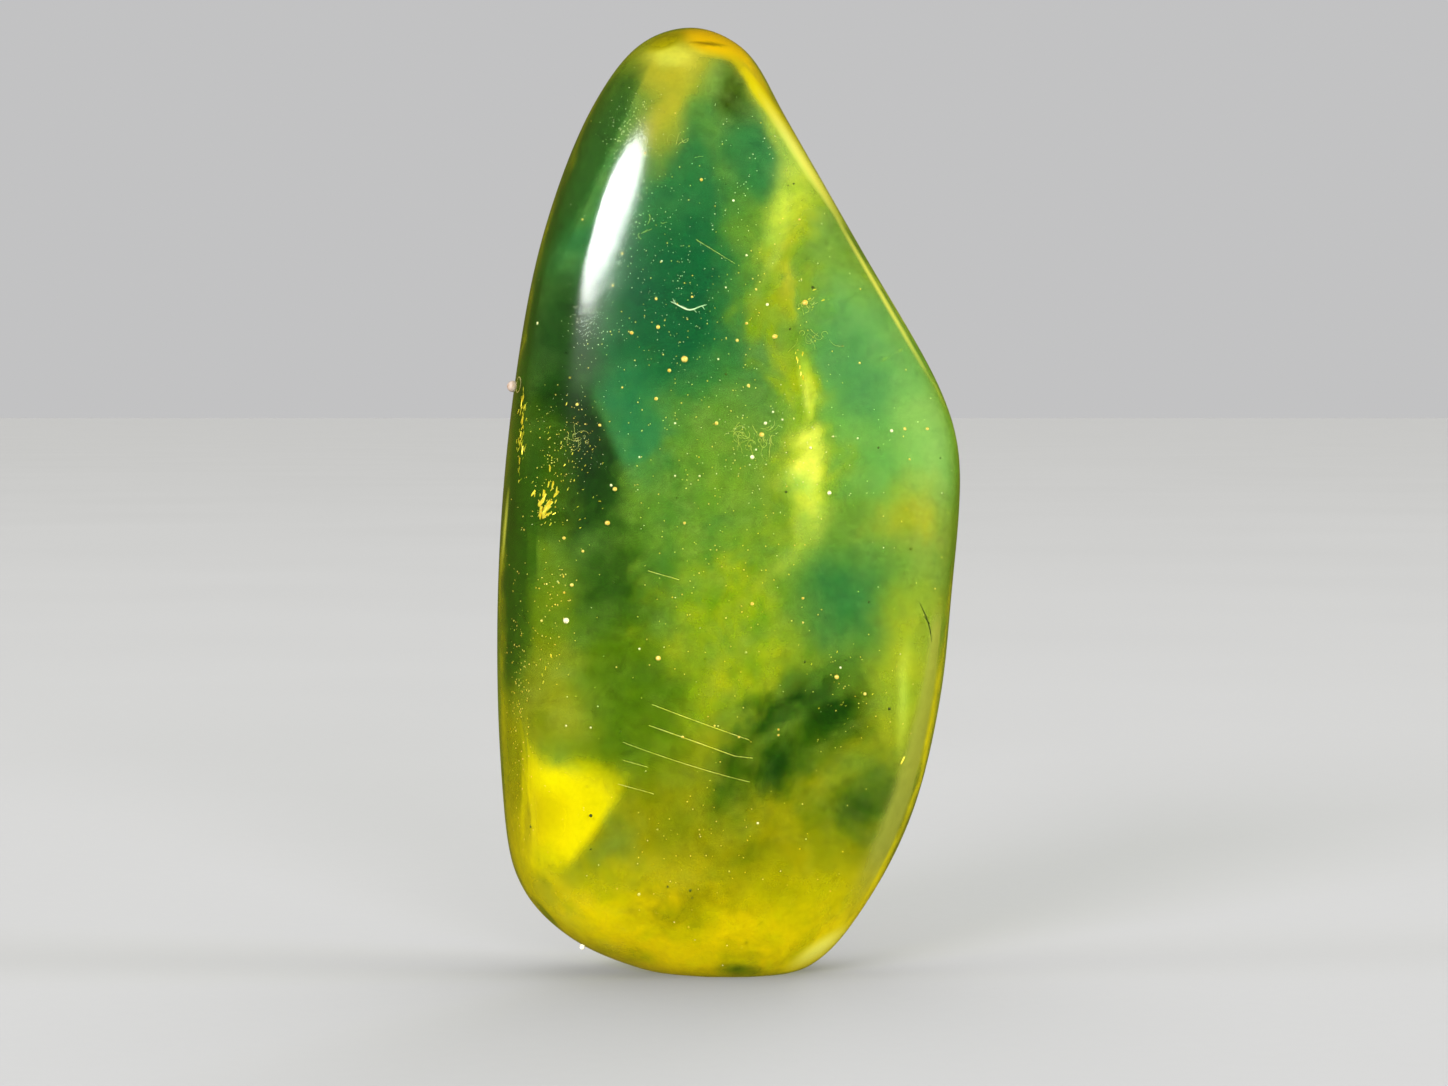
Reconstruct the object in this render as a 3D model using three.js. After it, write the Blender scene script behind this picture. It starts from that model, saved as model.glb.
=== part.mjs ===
// Polished amber: one freeform stone, taller than it is wide and half as thick, standing on a small worn foot.
// Millimetres, +Z up. The origin is on the table, under the middle of the stone's bounding box.
import * as THREE from "three";
import { mergeVertices } from "three/addons/utils/BufferGeometryUtils.js";

// The heart of the stone: every point of the surface lies on a ray that leaves it.
const heart = new THREE.Vector3(-0.6, 0, 22);

// The outline seen from the front, as [x, z] points on a closed curve. It dips below the table at the foot.
const outlinePoints = [
  [0.4, -0.9], // under the foot
  [4.7, 0.45],
  [7.5, 3.65],
  [9.9, 8.2],
  [11.35, 14.4],
  [11.95, 20.4],
  [12.4, 25.6],
  [12.3, 28.2], // the shoulder
  [11.4, 30.9],
  [7.0, 38.6],
  [2.65, 46.2],
  [1.2, 48.8],
  [-1.6, 50.3], // the tip
  [-4.4, 49.6],
  [-7.0, 46.3],
  [-9.7, 39.5],
  [-11.25, 31.7],
  [-12.3, 20.5],
  [-12.15, 10.0],
  [-11.3, 4.9],
  [-8.4, 1.8],
  [-4.2, 0.0],
];

// The side wall, rounded from front to back: its half depth at the heart if no face had been ground across it.
const wallHalfDepth = 9.4;
const wallRoundness = 2.3;

// The two broad faces: depth at the heart, how far each leans back per millimetre towards +X and +Z,
// and how much of that depth the dome has lost by the outline, from 0 (none) to 1 (all).
const frontFace = { depth: 6.9, leanX: 0.05, leanZ: 0.035, dome: 0.68 };
const backFace = { depth: 6.2, leanX: -0.04, leanZ: 0.02, dome: 0.8 };

// Soft bevels left by the grinding wheel, each a flat with the way it faces and its distance from the heart.
const bevels = [
  { facing: [-0.88, -0.48, -0.04], distance: 11.2 }, // long bevel on the front left
  { facing: [0.8, -0.52, -0.3], distance: 13.6 }, // low on the front right
  { facing: [-0.3, -0.55, 0.78], distance: 25.2 }, // front of the tip
  { facing: [0.84, 0.52, 0.12], distance: 12.4 }, // long bevel on the back right
  { facing: [-0.7, 0.68, 0.22], distance: 12.2 }, // high on the back left
  { facing: [0.1, 0.6, 0.79], distance: 25.4 }, // back of the tip
];

// The higher this is, the crisper the polished edges between the faces stay.
const edgeCrispness = 24;

const facesPerSide = 24;
const outlineSteps = 720;
const fullTurn = 2 * Math.PI;

// The outline again, as how far it lies from the heart in each direction.
const outlineCurve = new THREE.CatmullRomCurve3(
  outlinePoints.map(([x, z]) => new THREE.Vector3(x, 0, z)),
  true,
  "centripetal",
);
const outline = outlineCurve
  .getPoints(outlineSteps)
  .slice(1)
  .map((point) => point.sub(heart))
  .map((arm) => ({ angle: Math.atan2(arm.z, arm.x), reach: arm.length() }))
  .sort((a, b) => a.angle - b.angle);
outline.push({ angle: outline[0].angle + fullTurn, reach: outline[0].reach });

function outlineReach(angle) {
  const turned = angle < outline[0].angle ? angle + fullTurn : angle;
  const next = outline.findIndex((step) => step.angle > turned);
  const [before, after] = [outline[next - 1], outline[next]];
  return THREE.MathUtils.mapLinear(turned, before.angle, after.angle, before.reach, after.reach);
}

function faceShare(face, outward, arm, rim) {
  const depth = Math.max(outward + face.leanX * arm.x + face.leanZ * arm.z, 0);
  return Math.hypot(depth / face.depth, rim * face.dome);
}

// How many times its way to the surface an arm from the heart reaches: 1 on the surface itself.
function stoneShare(arm) {
  const rim = Math.hypot(arm.x, arm.z) / outlineReach(Math.atan2(arm.z, arm.x));
  const side = Math.abs(arm.y) / wallHalfDepth;
  const shares = [
    (rim ** wallRoundness + side ** wallRoundness) ** (1 / wallRoundness),
    faceShare(frontFace, -arm.y, arm, rim),
    faceShare(backFace, arm.y, arm, rim),
    ...bevels.map((bevel) => Math.max(arm.dot(bevel.normal) / bevel.distance, 0)),
  ];
  const sum = shares.reduce((total, share) => total + share ** edgeCrispness, 0);
  return sum ** (1 / edgeCrispness);
}

// A box's grid is swollen out to the stone's surface, and its foot is worn flat on the table.
// The stone is then moved so that the middle of its bounding box is over the origin.
function stoneGeometry() {
  const box = new THREE.BoxGeometry(2, 2, 2, facesPerSide, facesPerSide, facesPerSide);
  box.deleteAttribute("normal");
  box.deleteAttribute("uv");
  const geometry = mergeVertices(box);
  const points = geometry.getAttribute("position");
  const stretch = new THREE.Vector3(12, 8, 24);
  const evenly = (share) => Math.tan((share * Math.PI) / 4);
  const arm = new THREE.Vector3();
  for (let i = 0; i < points.count; i++) {
    arm.fromBufferAttribute(points, i);
    arm.set(evenly(arm.x), evenly(arm.y), evenly(arm.z)).normalize().multiply(stretch);
    arm.divideScalar(stoneShare(arm)).add(heart);
    points.setXYZ(i, arm.x, arm.y, Math.max(arm.z, 0));
  }
  geometry.computeBoundingBox();
  const middle = geometry.boundingBox.getCenter(new THREE.Vector3());
  geometry.translate(-middle.x, -middle.y, 0);
  geometry.computeVertexNormals();
  return geometry;
}

for (const bevel of bevels) {
  bevel.normal = new THREE.Vector3(...bevel.facing).normalize();
}

const amberMaterial = new THREE.MeshStandardMaterial({
  color: 0xa8b41e,
  roughness: 0.05,
  metalness: 0,
  transparent: true,
  opacity: 0.6,
});

const amber = new THREE.Mesh(stoneGeometry(), amberMaterial);
amber.name = "amber";

const stone = new THREE.Group();
stone.add(amber);

export default stone;
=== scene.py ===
import math
import random
import bpy
from mathutils import Euler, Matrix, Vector, noise
from mathutils.bvhtree import BVHTree


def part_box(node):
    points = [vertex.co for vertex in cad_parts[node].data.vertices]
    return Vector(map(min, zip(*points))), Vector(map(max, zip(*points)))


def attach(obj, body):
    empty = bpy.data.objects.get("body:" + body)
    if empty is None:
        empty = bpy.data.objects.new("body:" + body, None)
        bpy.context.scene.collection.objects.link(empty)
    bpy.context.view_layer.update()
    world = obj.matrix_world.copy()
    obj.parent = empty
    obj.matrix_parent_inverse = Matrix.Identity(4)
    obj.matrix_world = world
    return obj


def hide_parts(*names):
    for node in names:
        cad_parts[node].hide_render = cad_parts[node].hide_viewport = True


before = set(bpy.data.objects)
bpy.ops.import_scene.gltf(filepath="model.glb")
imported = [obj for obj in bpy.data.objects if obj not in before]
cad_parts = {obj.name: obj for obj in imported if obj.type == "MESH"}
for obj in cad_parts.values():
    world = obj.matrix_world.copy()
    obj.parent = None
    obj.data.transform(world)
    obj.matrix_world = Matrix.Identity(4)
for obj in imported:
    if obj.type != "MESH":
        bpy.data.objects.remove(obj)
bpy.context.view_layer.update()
noise.seed_set(3)        # so that the clouds take the same shape each time
mm = 0.001
wholeTurn = 6.28
stoneLow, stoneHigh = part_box("amber")
stoneSize = stoneHigh - stoneLow


def spot(across, deep, high):
    # a place in the stone, as shares of its box: left to right, front to back, foot to tip
    return stoneLow + Vector((across * stoneSize.x, deep * stoneSize.y, high * stoneSize.z))


def deselectAll():
    bpy.ops.object.select_all(action="DESELECT")


def startEditing(selection="SELECT"):
    bpy.ops.object.mode_set(mode="EDIT")
    bpy.ops.mesh.select_all(action=selection)


def stopEditing():
    bpy.ops.object.mode_set(mode="OBJECT")


def applyPlace():
    bpy.ops.object.transform_apply(location=True, rotation=True, scale=True)


def smoothStep(low, high, value):
    share = min(max((value - low) / (high - low), 0), 1)
    return share * share * (3 - 2 * share)


heart = spot(0.5, 0.5, 0.44)        # the middle of the stone's bulk

# tip is how many degrees it looks down
camera = {"lens": 100, "away": 213.7 * mm, "height": 30 * mm, "side": -0.2 * mm, "tip": 1.92}


def addCamera(look):
    place = (look["side"], -look["away"], look["height"])
    bpy.ops.object.camera_add(location=place, rotation=(math.radians(90 - look["tip"]), 0, 0))
    shot = bpy.context.object
    shot.data.lens = look["lens"]
    shot.data.sensor_width = 36
    shot.data.clip_start = 0.01
    shot.data.clip_end = 50
    bpy.context.scene.camera = shot


addCamera(camera)

# azimuth and height in degrees round the stone, the rest in metres and watts
softbox = {"azimuth": -25, "height": 20.5, "away": 1.65, "width": 0.64, "tall": 0.385, "watts": 18.5}
# azimuth, height, strength, and how wide the light spreads in degrees
suns = {
    "topLight": (160, 60, 1.1, 70),
    "frontFill": (15, 6, 3.7, 20),
    "backFill": (165, 6, 3.2, 20),
    "leftFill": (-78, 7, 2.2, 20),
    "rightFill": (82, 7, 3.6, 20),
}


def around(azimuth, height, away):
    # a place away from the stone's middle: azimuth 0 is in front of it and 90 to its right
    turn, rise = math.radians(azimuth), math.radians(height)
    sideways = math.sin(turn) * math.cos(rise)
    forwards = -math.cos(turn) * math.cos(rise)
    return heart + Vector((sideways, forwards, math.sin(rise))) * away


def addSoftbox(name, look):
    place = around(look["azimuth"], look["height"], look["away"])
    bpy.ops.object.light_add(type="AREA", location=place)
    lamp = bpy.context.object
    lamp.name = name
    lamp.data.shape = "ELLIPSE"
    lamp.data.size = look["width"]
    lamp.data.size_y = look["tall"]
    lamp.data.energy = look["watts"]
    lamp.rotation_euler = (heart - place).to_track_quat("-Z", "Y").to_euler()


def addSun(name, azimuth, height, strength, spread):
    bpy.ops.object.light_add(type="SUN", location=around(azimuth, height, 1))
    lamp = bpy.context.object
    lamp.name = name
    lamp.data.energy = strength
    lamp.data.angle = math.radians(spread)
    lamp.rotation_euler = (heart - lamp.location).to_track_quat("-Z", "Y").to_euler()
    # it lights the stone, but is never seen in it
    lamp.visible_camera = False
    lamp.visible_glossy = False
    lamp.visible_transmission = False


addSoftbox("keySoftbox", softbox)
for name, look in suns.items():
    addSun(name, *look)
print("lamps done")

studio = {"seen": (0.54, 0.54, 0.545, 1), "mirrored": (0.15, 0.14, 0.025, 1)}
bpy.context.scene.view_settings.view_transform = "Standard"
cycles = bpy.context.scene.cycles
cycles.use_light_tree = False
cycles.transparent_max_bounces = 64
cycles.max_bounces = 16
cycles.diffuse_bounces = 2
cycles.transmission_bounces = 12
cycles.glossy_bounces = 8
cycles.caustics_refractive = False
cycles.caustics_reflective = False


def addNode(tree, kind, wires=None, **settings):
    # a new node with its settings made, and each input given a value or wired to another node's socket
    made = tree.nodes.new("ShaderNode" + kind)
    for setting, value in settings.items():
        setattr(made, setting, value)
    for name, value in (wires or {}).items():
        if isinstance(value, bpy.types.NodeSocket):
            tree.links.new(value, made.inputs[name])
        else:
            made.inputs[name].default_value = value
    return made


def mathNode(tree, operation, *values, clamp=False):
    return addNode(tree, "Math", dict(enumerate(values)), operation=operation, use_clamp=clamp).outputs[0]


def vectorNode(tree, operation, wires):
    return addNode(tree, "VectorMath", wires, operation=operation).outputs[0]


def mixColours(tree, share, first, second):
    return addNode(tree, "Mix", {0: share, 6: first, 7: second}, data_type="RGBA").outputs[2]


def mixShaders(tree, share, first, second):
    return addNode(tree, "MixShader", {0: share, 1: first, 2: second}).outputs[0]


def noiseNode(tree, place, scale, detail, roughness=0.5, **settings):
    wires = {"Vector": place, "Scale": scale, "Detail": detail, "Roughness": roughness}
    return addNode(tree, "TexNoise", wires, **settings)


def rangeNode(tree, value, start, end, low=0.0, high=1.0, ease="LINEAR"):
    wires = {"Value": value, "From Min": start, "From Max": end, "To Min": low, "To Max": high}
    return addNode(tree, "MapRange", wires, interpolation_type=ease).outputs[0]


def objectPlace(tree):
    return addNode(tree, "TexCoord").outputs["Object"]


def newMaterial(name):
    stuff = bpy.data.materials.new(name)
    stuff.use_nodes = True
    stuff.node_tree.nodes.clear()
    return stuff, stuff.node_tree


def lightStudio(look):
    # pale all round, but the stone mirrors dark cloths, so that its own colours stay deep
    world = bpy.data.worlds.new("studio")
    bpy.context.scene.world = world
    world.use_nodes = True
    tree = world.node_tree
    rays = addNode(tree, "LightPath")
    notThrough = mathNode(tree, "SUBTRACT", 1.0, rays.outputs["Is Transmission Ray"])
    mirrored = mathNode(tree, "MULTIPLY", rays.outputs["Is Glossy Ray"], notThrough)
    shade = mixColours(tree, mirrored, look["seen"], look["mirrored"])
    tree.links.new(shade, tree.nodes["Background"].inputs["Color"])


lightStudio(studio)

floorLook = {
    "size": 24,
    "shades": (0.5, 0.46),
    "cloudScale": 9,
    "grainScale": 900,
    "roughness": 0.7,
    "grit": 0.15,
}


def addFloor(look):
    deselectAll()
    bpy.ops.mesh.primitive_plane_add(size=look["size"], location=(0, 0, 0))
    floor = bpy.context.object
    floor.name = "floor"
    paint, tree = newMaterial("paleFloor")
    place = objectPlace(tree)
    cloud = noiseNode(tree, place, look["cloudScale"], 3).outputs["Fac"]
    grain = noiseNode(tree, place, look["grainScale"], 2).outputs["Fac"]
    pale, cloudy = [(shade, shade, shade, 1) for shade in look["shades"]]
    shade = mixColours(tree, cloud, pale, cloudy)
    rough = mathNode(tree, "MULTIPLY_ADD", grain, look["grit"], look["roughness"])
    shader = addNode(tree, "BsdfPrincipled", {"Base Color": shade, "Roughness": rough}).outputs[0]
    addNode(tree, "OutputMaterial", {"Surface": shader})
    floor.data.materials.append(paint)
    floor.visible_glossy = False        # or the stone's gloss turns grey


addFloor(floorLook)
print("studio done")

# the stone's resin and polish: smeared is the roughness where it was touched, swallow and depth are what the
# resin takes from the light, and the tip is warmer than the broad face; the sides' warmer tint is a painted
# rim glow
skin = {
    "ior": 1.54,
    "roughness": 0.12,
    "smeared": 0.16,
    "smearScale": 260,
    "smearEdges": (0.45, 0.75),
    "wave": 0.05,
    "waveScale": 350,
    "waveDepth": 0.1 * mm,
    "rimSlopes": (0.75, 0.05),
    "swallow": (0.93, 0.95, 0.15),
    "depth": 100,
    "shadow": (0.96, 0.97, 0.85, 1),
    "face": (0.97, 1.0, 0.85),
    "rim": (1.0, 0.84, 0.05),
    "tip": (1.0, 0.74, 0.05),
    "tipFrom": 0.935,
}


def amberMaterial(look):
    stuff, tree = newMaterial("polishedAmber")
    coordinates = addNode(tree, "TexCoord")
    place = coordinates.outputs["Object"]
    # the skin is tinted warmer where it faces sideways: a painted rim glow
    facing = addNode(tree, "SeparateXYZ", {0: coordinates.outputs["Normal"]}).outputs["Y"]
    facing = mathNode(tree, "ABSOLUTE", facing)
    rimShare = rangeNode(tree, facing, *look["rimSlopes"], ease="SMOOTHSTEP")
    tint = mixColours(tree, rimShare, (*look["face"], 1), (*look["rim"], 1))
    height = addNode(tree, "SeparateXYZ", {0: place}).outputs["Z"]
    tipStart, tipEnd = [spot(0, 0, share).z for share in (look["tipFrom"], 1)]
    tipShare = rangeNode(tree, height, tipStart, tipEnd, ease="SMOOTHSTEP")
    tint = mixColours(tree, tipShare, tint, (*look["tip"], 1))
    smear = noiseNode(tree, place, look["smearScale"], 4).outputs["Fac"]
    rough = rangeNode(tree, smear, *look["smearEdges"], look["roughness"], look["smeared"])
    wave = noiseNode(tree, place, look["waveScale"], 2).outputs["Fac"]
    wires = {"Height": wave, "Strength": look["wave"], "Distance": look["waveDepth"]}
    bump = addNode(tree, "Bump", wires).outputs[0]
    wires = {"Base Color": tint, "Roughness": rough, "Normal": bump, "IOR": look["ior"]}
    wires["Transmission Weight"] = 1
    shader = addNode(tree, "BsdfPrincipled", wires).outputs[0]
    # lamps shine straight through the skin on what is sealed in it
    lampRays = addNode(tree, "LightPath").outputs["Is Shadow Ray"]
    lampPass = addNode(tree, "BsdfTransparent", {"Color": look["shadow"]}).outputs[0]
    surface = mixShaders(tree, lampRays, shader, lampPass)
    absorb = addNode(tree, "VolumeAbsorption", {"Color": (*look["swallow"], 1), "Density": look["depth"]})
    addNode(tree, "OutputMaterial", {"Surface": surface, "Volume": absorb.outputs[0]})
    return stuff


def copyOfStone(name, fineness):
    # the CAD stone's own shape with its loose triangles joined, made finer and smooth
    deselectAll()
    stone = bpy.data.objects.new(name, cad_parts["amber"].data.copy())
    bpy.context.collection.objects.link(stone)
    stone.select_set(True)
    bpy.context.view_layer.objects.active = stone
    startEditing()
    bpy.ops.mesh.remove_doubles(threshold=0.01 * mm)
    bpy.ops.mesh.tris_convert_to_quads(face_threshold=math.pi, shape_threshold=math.pi)
    stopEditing()
    smooth = stone.modifiers.new("fine", "SUBSURF")
    smooth.levels = fineness
    smooth.render_levels = fineness
    bpy.ops.object.modifier_apply(modifier="fine")
    bpy.ops.object.shade_smooth()
    stone.data.materials.clear()
    return stone


def buildStone():
    stone = copyOfStone("polished_amber", 2)
    stone.data.materials.append(amberMaterial(skin))
    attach(stone, "root")
    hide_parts("amber")
    return stone


stone = buildStone()
print("stone done", len(stone.data.polygons))

# the colours of the resin's clouds, as they look in the stone, and how milky each is: 0 only colours the
# light that comes through, and 1 only shines with the light that falls on it
deepTeal = {"colour": (0.008, 0.2, 0.125), "milk": 0.35}
teal = {"colour": (0.035, 0.255, 0.14), "milk": 0.35}
paleTeal = {"colour": (0.032, 0.285, 0.165), "milk": 0.55}
seaGreen = {"colour": (0.215, 0.49, 0.185), "milk": 0.5}
leafGreen = {"colour": (0.195, 0.375, 0.08), "milk": 0.4}
moss = {"colour": (0.13, 0.25, 0.006), "milk": 0.3}
darkMoss = {"colour": (0.045, 0.15, 0.014), "milk": 0.3}
darkGreen = {"colour": (0.013, 0.085, 0.018), "milk": 0.25}
inkGreen = {"colour": (0.014, 0.095, 0.013), "milk": 0.3}
oliveGreen = {"colour": (0.037, 0.085, 0.002), "milk": 0.25}
olive = {"colour": (0.4, 0.38, 0.002), "milk": 0.4}
yellowGreen = {"colour": (0.41, 0.5, 0.02), "milk": 0.5}
paleYellow = {"colour": (0.66, 0.78, 0.12), "milk": 0.65}
brightWisp = {"colour": (0.98, 0.96, 0.18), "milk": 0.9}
# painted light: a lamp seen through the lower left side, a glint at the foot and the brightest rim glow
paintedLightYellow = {"colour": (1.0, 0.85, 0.001), "milk": 0.9}
gold = {"colour": (0.95, 0.74, 0.001), "milk": 0.7}
dimGold = {"colour": (0.62, 0.54, 0.001), "milk": 0.5}
amberOrange = {"colour": (0.62, 0.52, 0.02), "milk": 0.5}
tipOrange = {"colour": (1.0, 0.64, 0.003), "milk": 0.8}
haze = {"colour": (0.6, 0.53, 0.055), "milk": 0.75}
seaTeal = {"colour": (0.125, 0.375, 0.2), "milk": 0.5}
paleSea = {"colour": (0.3, 0.6, 0.21), "milk": 0.6}
oliveGlow = {"colour": (0.24, 0.33, 0.012), "milk": 0.5}
stripGreen = {"colour": (0.045, 0.14, 0.018), "milk": 0.35}
stripTeal = {"colour": (0.045, 0.14, 0.045), "milk": 0.35}
tealShade = {"colour": (0.028, 0.115, 0.042), "milk": 0.3}
# a pale line colour that is only used for painted highlights
paintedGlintLine = {"colour": (1.0, 0.95, 0.26), "milk": 0.95}
darkOrange = {"colour": (0.3, 0.18, 0.002), "milk": 0.6}
greyOlive = {"colour": (0.42, 0.435, 0.095), "milk": 0.8}
paleOlive = {"colour": (0.47, 0.53, 0.04), "milk": 0.55}
edgeGreen = {"colour": (0.13, 0.23, 0.012), "milk": 0.45}
darkFern = {"colour": (0.06, 0.16, 0.006), "milk": 0.3}
oldGold = {"colour": (0.27, 0.215, 0.004), "milk": 0.5}

# each cloud: its kind, its middle as shares of the stone's box, its half sizes in mm, its lean to the right
# in degrees, how softly it ends, how thick and how wispy it is, and maybe where it is cut off: a place across
# and high, the way the cut faces in degrees above the right, and how soft it is in mm
clouds = [
    (olive, (0.5, 0.45, 0.02), (17, 14, 16), 0, 0.45, 0.74, 0.6),
    (seaGreen, (0.8, 0.35, 0.6), (4.6, 9, 7.6), 0, 0.35, 0.66, 0.5),
    (seaTeal, (0.77, 0.35, 0.64), (1.9, 8, 3.6), -20, 0.6, 0.7, 0.5),
    (leafGreen, (0.745, 0.35, 0.79), (1.6, 9, 3.6), -30, 0.5, 0.78, 0.4),
    (paleSea, (0.9, 0.35, 0.56), (1.5, 8, 2.6), 0, 0.7, 0.58, 0.4),
    (teal, (0.345, 0.35, 0.73), (5.8, 9, 8.6), 14, 0.35, 0.76, 0.4),
    (deepTeal, (0.375, 0.35, 0.705), (3.4, 8, 4.8), 20, 0.5, 0.86, 0.6),
    (paleTeal, (0.325, 0.3, 0.575), (2.2, 7, 3.8), -22, 0.45, 0.76, 0.4),
    (tealShade, (0.12, 0.4, 0.66), (2.9, 9, 4.4), 10, 0.4, 0.88, 0.4),
    (darkGreen, (0.175, 0.4, 0.545), (3.7, 9, 4.7), -14, 0.3, 0.92, 0.3, (0.275, 0.545), 24, 0.3),
    (moss, (0.115, 0.4, 0.535), (1.2, 8, 3.0), 0, 0.6, 0.6, 1.0),
    (darkMoss, (0.275, 0.4, 0.42), (2.8, 8, 3.8), 0, 0.5, 0.84, 0.7),
    (moss, (0.3, 0.4, 0.3), (3.2, 8, 4.6), 0, 0.5, 0.78, 0.6),
    (oliveGlow, (0.14, 0.4, 0.35), (1.5, 7, 5.2), 0, 0.5, 0.78, 0.7),
    (yellowGreen, (0.5, 0.35, 0.393), (3.0, 8, 5.6), -5, 0.5, 0.78, 1.6),
    (olive, (0.15, 0.35, 0.295), (1.6, 7, 2.4), 0, 0.7, 0.45, 0.6),
    (leafGreen, (0.44, 0.35, 0.499), (3.0, 7, 3.6), 0, 0.5, 0.72, 1.4),
    (teal, (0.56, 0.35, 0.69), (1.5, 7, 4.0), 0, 0.6, 0.5, 0.8),
    (leafGreen, (0.56, 0.3, 0.79), (1.7, 6, 4.2), 0, 0.5, 0.74, 0.9),
    (yellowGreen, (0.615, 0.3, 0.77), (1.4, 6, 5.4), 3, 0.5, 0.74, 1.2),
    (paleYellow, (0.602, 0.28, 0.81), (0.7, 6, 2.0), 20, 0.8, 1.1, 1.2),
    (paleYellow, (0.595, 0.28, 0.745), (0.4, 6, 1.5), 20, 0.7, 0.55, 1.3),
    (haze, (0.644, 0.28, 0.725), (0.45, 6, 2.4), -6, 0.7, 0.92, 1.3),
    (yellowGreen, (0.645, 0.28, 0.62), (0.9, 6, 3.4), 4, 0.5, 0.8, 1.0),
    (paleYellow, (0.652, 0.28, 0.628), (0.3, 6, 1.7), 8, 0.6, 0.94, 0.8),
    (yellowGreen, (0.66, 0.28, 0.51), (1.7, 6, 4.4), 0, 0.5, 0.78, 1.2),
    (paleYellow, (0.662, 0.27, 0.515), (1.0, 6, 3.4), -4, 0.8, 0.66, 1.4),
    (brightWisp, (0.651, 0.26, 0.616), (0.2, 6, 1.0), 8, 0.7, 0.9, 1.0),
    (brightWisp, (0.667, 0.26, 0.52), (0.46, 6, 2.2), -3, 1.1, 1.15, 1.4),
    (paleYellow, (0.644, 0.26, 0.458), (0.45, 6, 1.5), 28, 0.9, 0.9, 1.3),
    (teal, (0.741, 0.35, 0.402), (2.2, 7, 3.1), -28, 0.9, 0.72, 0.5),
    (leafGreen, (0.74, 0.35, 0.478), (1.1, 7, 1.2), 0, 0.6, 0.6, 0.5),
    (paleOlive, (0.868, 0.35, 0.31), (1.5, 7, 5.2), 5, 0.5, 0.8, 0.4),
    (darkFern, (0.645, 0.32, 0.262), (3.3, 7, 2.0), -28, 0.45, 0.72, 1.2),
    (inkGreen, (0.66, 0.32, 0.297), (2.2, 7, 1.4), -10, 0.35, 1.15, 1.0),
    (inkGreen, (0.596, 0.32, 0.274), (1.3, 7, 0.9), -30, 0.5, 0.92, 1.2),
    (inkGreen, (0.597, 0.32, 0.228), (0.95, 7, 0.95), 20, 0.5, 0.84, 1.2),
    (darkFern, (0.515, 0.32, 0.212), (1.25, 7, 2.3), 12, 0.6, 0.7, 1.2),
    (darkFern, (0.776, 0.32, 0.184), (2.3, 7, 1.9), 25, 0.5, 0.58, 1.2),
    (inkGreen, (0.748, 0.32, 0.18), (0.6, 7, 0.8), 25, 0.6, 0.66, 1.2),
    (inkGreen, (0.825, 0.32, 0.184), (0.5, 7, 1.0), 25, 0.6, 0.5, 1.2),
    (amberOrange, (0.871, 0.24, 0.478), (1.8, 4, 1.4), 0, 0.9, 0.54, 0.8),
    (haze, (0.395, 0.32, 0.945), (1.5, 7, 2.0), 38, 0.6, 0.9, 0.4),
    (haze, (0.368, 0.32, 0.89), (0.9, 7, 2.6), 28, 0.7, 0.84, 0.6),
    (brightWisp, (0.392, 0.32, 0.958), (0.9, 7, 0.55), 10, 0.7, 0.9, 0.4),
    (oliveGreen, (0.52, 0.32, 0.915), (0.55, 7, 1.9), -14, 0.9, 0.85, 0.6),
    (teal, (0.56, 0.35, 0.858), (1.6, 7, 2.1), -20, 0.5, 0.78, 0.4),
    (paleYellow, (0.608, 0.28, 0.818), (0.6, 6, 1.7), 22, 0.8, 0.8, 1.2),
    (moss, (0.27, 0.4, 0.13), (1.1, 8, 1.7), 30, 0.8, 0.32, 0.5),
    # a painted patch of light, a lamp seen through the stone's lower left side, with its cut edge
    (paintedLightYellow, (0.15, 0.2, 0.168), (4.2, 5.5, 3.5), 0, 0.25, 1.1, 0.2, (0.222, 0.16), -34, 0.4),
    (gold, (0.125, 0.38, 0.165), (0.8, 9, 1.7), 20, 0.8, 0.5, 0.2),
    (amberOrange, (0.386, 0.35, 0.128), (1.8, 7, 1.0), 0, 0.8, 0.76, 0.8),
    (dimGold, (0.655, 0.4, 0.08), (3.6, 9, 2.2), 0, 0.6, 0.8, 0.5),
    (dimGold, (0.245, 0.4, 0.105), (2.6, 9, 1.5), 0, 0.7, 0.66, 0.8),
    (gold, (0.19, 0.4, 0.062), (2.8, 9, 1.5), 0, 0.7, 0.7, 0.8),
    # a painted glow along the foot, where light leaves the stone at the bottom
    (gold, (0.45, 0.4, 0.03), (5.4, 9, 2.4), 0, 0.6, 1.2, 0.8),
    (paleYellow, (0.864, 0.2, 0.29), (0.24, 5.5, 2.7), 5, 0.9, 1.25, 0.3),
    (stripGreen, (0.03, 0.2, 0.43), (2.3, 5.5, 8.8), 0, 0.2, 1.6, 0.1, (0.108, 0.36), 0, 0.08),
    (olive, (0.03, 0.2, 0.195), (1.7, 5.5, 5.3), 0, 0.3, 1.3, 0.1, (0.094, 0.17), 0, 0.08),
    # a painted bright line in the same patch of light
    (paintedLightYellow, (0.094, 0.4, 0.19), (0.16, 9, 3.0), 0, 0.8, 1.0, 0.1),
    (stripTeal, (0.19, 0.2, 0.87), (2.8, 5.5, 7.0), 24, 0.3, 1.6, 0.1, (0.306, 0.917), -24, 0.08),
    # a painted glow and a painted highlight along the upper right crease
    (gold, (0.594, 0.2, 0.908), (0.42, 5.5, 3.2), -31, 0.7, 1.5, 0.2),
    (paleYellow, (0.64, 0.2, 0.858), (0.36, 5.5, 2.2), -31, 0.9, 1.0, 0.3),
]
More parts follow.
